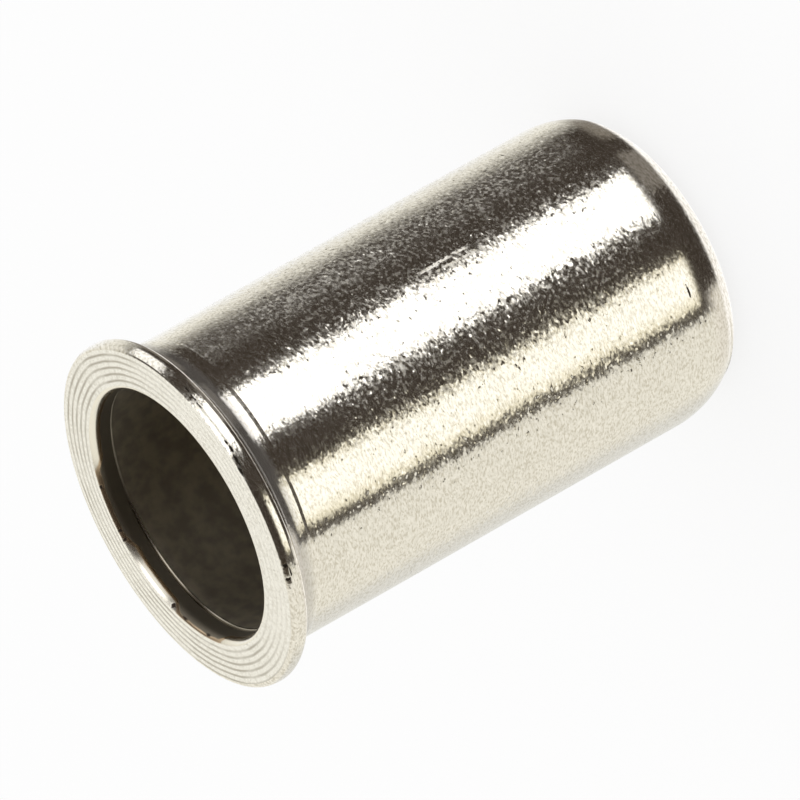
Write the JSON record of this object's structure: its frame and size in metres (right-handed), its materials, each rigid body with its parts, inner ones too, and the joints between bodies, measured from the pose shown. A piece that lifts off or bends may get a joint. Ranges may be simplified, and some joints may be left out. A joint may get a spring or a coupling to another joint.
{
  "type": "rivet nut",
  "caption": "Blind rivet nut, a flanged steel tube with a threaded end and a smooth thin-walled sleeve that folds to grip a sheet.",
  "frame": {"origin": "centre of the threaded end's flat face, which the nut stands on", "axes": "+Z along the nut's axis, from the threaded end to the flange; the part is a body of revolution about Z, so X and Y may point anywhere around it"},
  "size_m": [0.008, 0.008, 0.0125],
  "materials": {
    "plated_steel": "bright zinc-plated steel, barrel finished on the shank, with fine turned rings on the flange face"
  },
  "bodies": {
    "root": {"nut_body": "plated_steel"}
  },
  "joints": []
}
